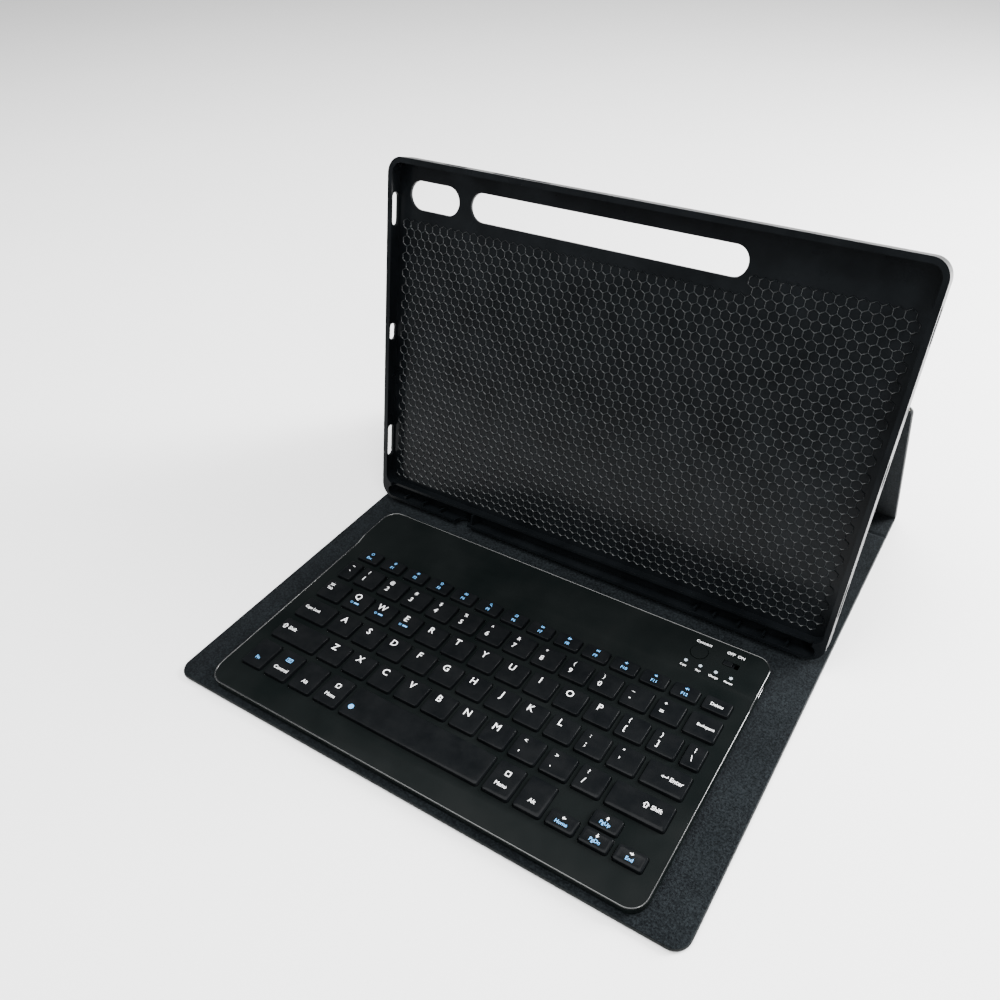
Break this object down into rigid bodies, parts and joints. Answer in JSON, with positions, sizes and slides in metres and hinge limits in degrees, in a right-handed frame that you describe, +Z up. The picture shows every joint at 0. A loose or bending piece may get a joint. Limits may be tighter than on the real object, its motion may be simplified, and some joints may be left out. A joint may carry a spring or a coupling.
{
  "type": "tablet keyboard case",
  "caption": "Folding cover with a leaning tablet tray, a hinged rear prop panel and a magnetically held wireless keyboard with moving keys.",
  "frame": {"origin": "centre of the standing case's bounding box footprint, on the table", "axes": "+X to the user's right, +Y away from the user, +Z up"},
  "size_m": [0.292, 0.3056, 0.1937],
  "materials": {
    "leather_black": "fine-grained synthetic leather, satin",
    "lining_black": "short microfibre nap, matte",
    "panel_core": "pressed board, matte",
    "magnet_nickel": "nickel plated",
    "tape_white": "adhesive film",
    "tray_black": "soft satin moulding",
    "shell_black": "satin gloss moulding",
    "key_black": "satin keycap",
    "sheet_steel": "rolled sheet",
    "battery_foil": "foil pouch",
    "circuit_green": "solder mask",
    "light_pipe": "clear light pipe",
    "steel": "plated steel"
  },
  "bodies": {
    "base": {"base_skin": "leather_black", "base_board": "panel_core", "spine_board": "panel_core", "base_magnets": "magnet_nickel", "base_lining": "lining_black"},
    "prop": {"prop_skin": "leather_black", "prop_board": "panel_core", "prop_lining": "lining_black"},
    "tray": {"tray_shell": "tray_black", "bond_skin": "leather_black", "bond_board": "panel_core", "bond_tape": "tape_white"},
    "keyboard": {"keyboard_top": "shell_black", "keyboard_bottom": "shell_black", "case_screws": "steel", "key_sheet": "sheet_steel", "battery": "battery_foil", "circuit_board": "circuit_green", "keyboard_magnets": "magnet_nickel", "status_lights": "light_pipe", "charging_port": "steel"},
    "switch_knob": {"power_switch": "key_black"},
    "pair_button": {"connect_button": "shell_black"},
    "space_key_cap": {"space_key": "key_black"},
    "enter_key_cap": {"enter_key": "key_black"},
    "backspace_key_cap": {"backspace_key": "key_black"},
    "tab_key_cap": {"tab_key": "key_black"},
    "caps_lock_key_cap": {"caps_lock_key": "key_black"},
    "shift_keys_caps": {"shift_keys": "key_black"},
    "function_keys_caps": {"function_keys": "key_black"},
    "number_keys_caps": {"number_keys": "key_black"},
    "symbol_keys_caps": {"symbol_keys": "key_black"},
    "modifier_keys_caps": {"modifier_keys": "key_black"},
    "arrow_keys_caps": {"arrow_keys": "key_black"},
    "cap_q": {"key_q": "key_black"},
    "cap_w": {"key_w": "key_black"},
    "cap_e": {"key_e": "key_black"},
    "cap_r": {"key_r": "key_black"},
    "cap_t": {"key_t": "key_black"},
    "cap_y": {"key_y": "key_black"},
    "cap_u": {"key_u": "key_black"},
    "cap_i": {"key_i": "key_black"},
    "cap_o": {"key_o": "key_black"},
    "cap_p": {"key_p": "key_black"},
    "cap_a": {"key_a": "key_black"},
    "cap_s": {"key_s": "key_black"},
    "cap_d": {"key_d": "key_black"},
    "cap_f": {"key_f": "key_black"},
    "cap_g": {"key_g": "key_black"},
    "cap_h": {"key_h": "key_black"},
    "cap_j": {"key_j": "key_black"},
    "cap_k": {"key_k": "key_black"},
    "cap_l": {"key_l": "key_black"},
    "cap_z": {"key_z": "key_black"},
    "cap_x": {"key_x": "key_black"},
    "cap_c": {"key_c": "key_black"},
    "cap_v": {"key_v": "key_black"},
    "cap_b": {"key_b": "key_black"},
    "cap_n": {"key_n": "key_black"},
    "cap_m": {"key_m": "key_black"}
  },
  "joints": [
    {"name": "prop_hinge", "type": "hinge", "parent": "base", "child": "prop", "pos_m": [0, 0.15055, 0.003], "axis": [1, 0, 0], "range_deg": [-124.7, 0]},
    {"name": "tray_hinge", "type": "hinge", "parent": "prop", "child": "tray", "pos_m": [0, 0.06162, 0.13095], "axis": [1, 0, 0], "range_deg": [0, 51.75]},
    {"name": "keyboard_lift", "type": "slide", "parent": "base", "child": "keyboard", "axis": [0, 0, 1], "range_m": [0, 0.04]},
    {"name": "power_slide", "type": "slide", "parent": "keyboard", "child": "switch_knob", "axis": [1, 0, 0], "range_m": [0, 0.0034]},
    {"name": "connect_press", "type": "slide", "parent": "keyboard", "child": "pair_button", "axis": [0, 0, 1], "range_m": [-0.0006, 0], "stiffness_N_per_m": 400, "springref_m": 0.0008},
    {"name": "space_key_press", "type": "slide", "parent": "keyboard", "child": "space_key_cap", "axis": [0, 0, 1], "range_m": [-0.0012, 0], "stiffness_N_per_m": 200, "springref_m": 0.001},
    {"name": "enter_key_press", "type": "slide", "parent": "keyboard", "child": "enter_key_cap", "axis": [0, 0, 1], "range_m": [-0.0012, 0], "stiffness_N_per_m": 200, "springref_m": 0.001},
    {"name": "backspace_key_press", "type": "slide", "parent": "keyboard", "child": "backspace_key_cap", "axis": [0, 0, 1], "range_m": [-0.0012, 0], "stiffness_N_per_m": 200, "springref_m": 0.001},
    {"name": "tab_key_press", "type": "slide", "parent": "keyboard", "child": "tab_key_cap", "axis": [0, 0, 1], "range_m": [-0.0012, 0], "stiffness_N_per_m": 200, "springref_m": 0.001},
    {"name": "caps_lock_key_press", "type": "slide", "parent": "keyboard", "child": "caps_lock_key_cap", "axis": [0, 0, 1], "range_m": [-0.0012, 0], "stiffness_N_per_m": 200, "springref_m": 0.001},
    {"name": "shift_keys_press", "type": "slide", "parent": "keyboard", "child": "shift_keys_caps", "axis": [0, 0, 1], "range_m": [-0.0012, 0], "stiffness_N_per_m": 400, "springref_m": 0.001},
    {"name": "function_keys_press", "type": "slide", "parent": "keyboard", "child": "function_keys_caps", "axis": [0, 0, 1], "range_m": [-0.0012, 0], "stiffness_N_per_m": 2800, "springref_m": 0.001},
    {"name": "number_keys_press", "type": "slide", "parent": "keyboard", "child": "number_keys_caps", "axis": [0, 0, 1], "range_m": [-0.0012, 0], "stiffness_N_per_m": 2600, "springref_m": 0.001},
    {"name": "symbol_keys_press", "type": "slide", "parent": "keyboard", "child": "symbol_keys_caps", "axis": [0, 0, 1], "range_m": [-0.0012, 0], "stiffness_N_per_m": 1600, "springref_m": 0.001},
    {"name": "modifier_keys_press", "type": "slide", "parent": "keyboard", "child": "modifier_keys_caps", "axis": [0, 0, 1], "range_m": [-0.0012, 0], "stiffness_N_per_m": 1200, "springref_m": 0.001},
    {"name": "arrow_keys_press", "type": "slide", "parent": "keyboard", "child": "arrow_keys_caps", "axis": [0, 0, 1], "range_m": [-0.0012, 0], "stiffness_N_per_m": 800, "springref_m": 0.001},
    {"name": "q_press", "type": "slide", "parent": "keyboard", "child": "cap_q", "axis": [0, 0, 1], "range_m": [-0.0012, 0], "stiffness_N_per_m": 200, "springref_m": 0.001},
    {"name": "w_press", "type": "slide", "parent": "keyboard", "child": "cap_w", "axis": [0, 0, 1], "range_m": [-0.0012, 0], "stiffness_N_per_m": 200, "springref_m": 0.001},
    {"name": "e_press", "type": "slide", "parent": "keyboard", "child": "cap_e", "axis": [0, 0, 1], "range_m": [-0.0012, 0], "stiffness_N_per_m": 200, "springref_m": 0.001},
    {"name": "r_press", "type": "slide", "parent": "keyboard", "child": "cap_r", "axis": [0, 0, 1], "range_m": [-0.0012, 0], "stiffness_N_per_m": 200, "springref_m": 0.001},
    {"name": "t_press", "type": "slide", "parent": "keyboard", "child": "cap_t", "axis": [0, 0, 1], "range_m": [-0.0012, 0], "stiffness_N_per_m": 200, "springref_m": 0.001},
    {"name": "y_press", "type": "slide", "parent": "keyboard", "child": "cap_y", "axis": [0, 0, 1], "range_m": [-0.0012, 0], "stiffness_N_per_m": 200, "springref_m": 0.001},
    {"name": "u_press", "type": "slide", "parent": "keyboard", "child": "cap_u", "axis": [0, 0, 1], "range_m": [-0.0012, 0], "stiffness_N_per_m": 200, "springref_m": 0.001},
    {"name": "i_press", "type": "slide", "parent": "keyboard", "child": "cap_i", "axis": [0, 0, 1], "range_m": [-0.0012, 0], "stiffness_N_per_m": 200, "springref_m": 0.001},
    {"name": "o_press", "type": "slide", "parent": "keyboard", "child": "cap_o", "axis": [0, 0, 1], "range_m": [-0.0012, 0], "stiffness_N_per_m": 200, "springref_m": 0.001},
    {"name": "p_press", "type": "slide", "parent": "keyboard", "child": "cap_p", "axis": [0, 0, 1], "range_m": [-0.0012, 0], "stiffness_N_per_m": 200, "springref_m": 0.001},
    {"name": "a_press", "type": "slide", "parent": "keyboard", "child": "cap_a", "axis": [0, 0, 1], "range_m": [-0.0012, 0], "stiffness_N_per_m": 200, "springref_m": 0.001},
    {"name": "s_press", "type": "slide", "parent": "keyboard", "child": "cap_s", "axis": [0, 0, 1], "range_m": [-0.0012, 0], "stiffness_N_per_m": 200, "springref_m": 0.001},
    {"name": "d_press", "type": "slide", "parent": "keyboard", "child": "cap_d", "axis": [0, 0, 1], "range_m": [-0.0012, 0], "stiffness_N_per_m": 200, "springref_m": 0.001},
    {"name": "f_press", "type": "slide", "parent": "keyboard", "child": "cap_f", "axis": [0, 0, 1], "range_m": [-0.0012, 0], "stiffness_N_per_m": 200, "springref_m": 0.001},
    {"name": "g_press", "type": "slide", "parent": "keyboard", "child": "cap_g", "axis": [0, 0, 1], "range_m": [-0.0012, 0], "stiffness_N_per_m": 200, "springref_m": 0.001},
    {"name": "h_press", "type": "slide", "parent": "keyboard", "child": "cap_h", "axis": [0, 0, 1], "range_m": [-0.0012, 0], "stiffness_N_per_m": 200, "springref_m": 0.001},
    {"name": "j_press", "type": "slide", "parent": "keyboard", "child": "cap_j", "axis": [0, 0, 1], "range_m": [-0.0012, 0], "stiffness_N_per_m": 200, "springref_m": 0.001},
    {"name": "k_press", "type": "slide", "parent": "keyboard", "child": "cap_k", "axis": [0, 0, 1], "range_m": [-0.0012, 0], "stiffness_N_per_m": 200, "springref_m": 0.001},
    {"name": "l_press", "type": "slide", "parent": "keyboard", "child": "cap_l", "axis": [0, 0, 1], "range_m": [-0.0012, 0], "stiffness_N_per_m": 200, "springref_m": 0.001},
    {"name": "z_press", "type": "slide", "parent": "keyboard", "child": "cap_z", "axis": [0, 0, 1], "range_m": [-0.0012, 0], "stiffness_N_per_m": 200, "springref_m": 0.001},
    {"name": "x_press", "type": "slide", "parent": "keyboard", "child": "cap_x", "axis": [0, 0, 1], "range_m": [-0.0012, 0], "stiffness_N_per_m": 200, "springref_m": 0.001},
    {"name": "c_press", "type": "slide", "parent": "keyboard", "child": "cap_c", "axis": [0, 0, 1], "range_m": [-0.0012, 0], "stiffness_N_per_m": 200, "springref_m": 0.001},
    {"name": "v_press", "type": "slide", "parent": "keyboard", "child": "cap_v", "axis": [0, 0, 1], "range_m": [-0.0012, 0], "stiffness_N_per_m": 200, "springref_m": 0.001},
    {"name": "b_press", "type": "slide", "parent": "keyboard", "child": "cap_b", "axis": [0, 0, 1], "range_m": [-0.0012, 0], "stiffness_N_per_m": 200, "springref_m": 0.001},
    {"name": "n_press", "type": "slide", "parent": "keyboard", "child": "cap_n", "axis": [0, 0, 1], "range_m": [-0.0012, 0], "stiffness_N_per_m": 200, "springref_m": 0.001},
    {"name": "m_press", "type": "slide", "parent": "keyboard", "child": "cap_m", "axis": [0, 0, 1], "range_m": [-0.0012, 0], "stiffness_N_per_m": 200, "springref_m": 0.001}
  ],
  "couplings": [
    {"joint": "tray_hinge", "follows": "prop_hinge", "ratio": -0.41428}
  ]
}
